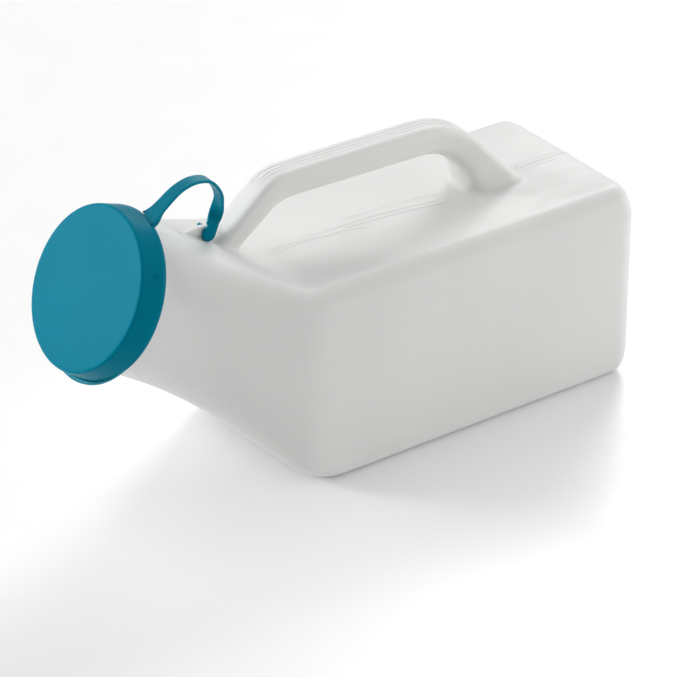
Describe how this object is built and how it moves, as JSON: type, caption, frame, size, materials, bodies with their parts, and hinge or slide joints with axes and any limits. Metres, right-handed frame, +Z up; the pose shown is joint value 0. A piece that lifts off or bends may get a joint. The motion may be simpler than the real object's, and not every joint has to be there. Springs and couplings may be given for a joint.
{
  "type": "urine bottle",
  "caption": "Square-bodied male urine bottle lying on its side, with an upturned round neck, a carrying handle on top and a push-fit lid on a tether strap.",
  "frame": {"origin": "centre of the whole object's footprint box, on the surface it lies on", "axes": "+Z up, +X from the mouth towards the base end, +Y across the body"},
  "size_m": [0.2486, 0.084, 0.1281],
  "materials": {
    "bottle_plastic": "milky translucent blow-moulded polyethylene, satin",
    "lid_plastic": "teal injection-moulded soft polyethylene, semi-gloss"
  },
  "bodies": {
    "bottle": {"bottle_body": "bottle_plastic", "bottle_shoulder": "bottle_plastic", "neck_rim": "bottle_plastic", "handle": "bottle_plastic", "tether_lug": "bottle_plastic", "tether_strap": "lid_plastic", "tether_peg": "lid_plastic"},
    "lid": {"lid_cap": "lid_plastic", "thumb_tab": "lid_plastic"}
  },
  "joints": [
    {"name": "lid_hinge", "type": "hinge", "parent": "bottle", "child": "lid", "pos_m": [-0.08445, -0.00578, 0.11799], "axis": [0.0815, 0.9848, 0.1533], "range_deg": [0, 95], "deforming": ["tether_strap"]}
  ]
}
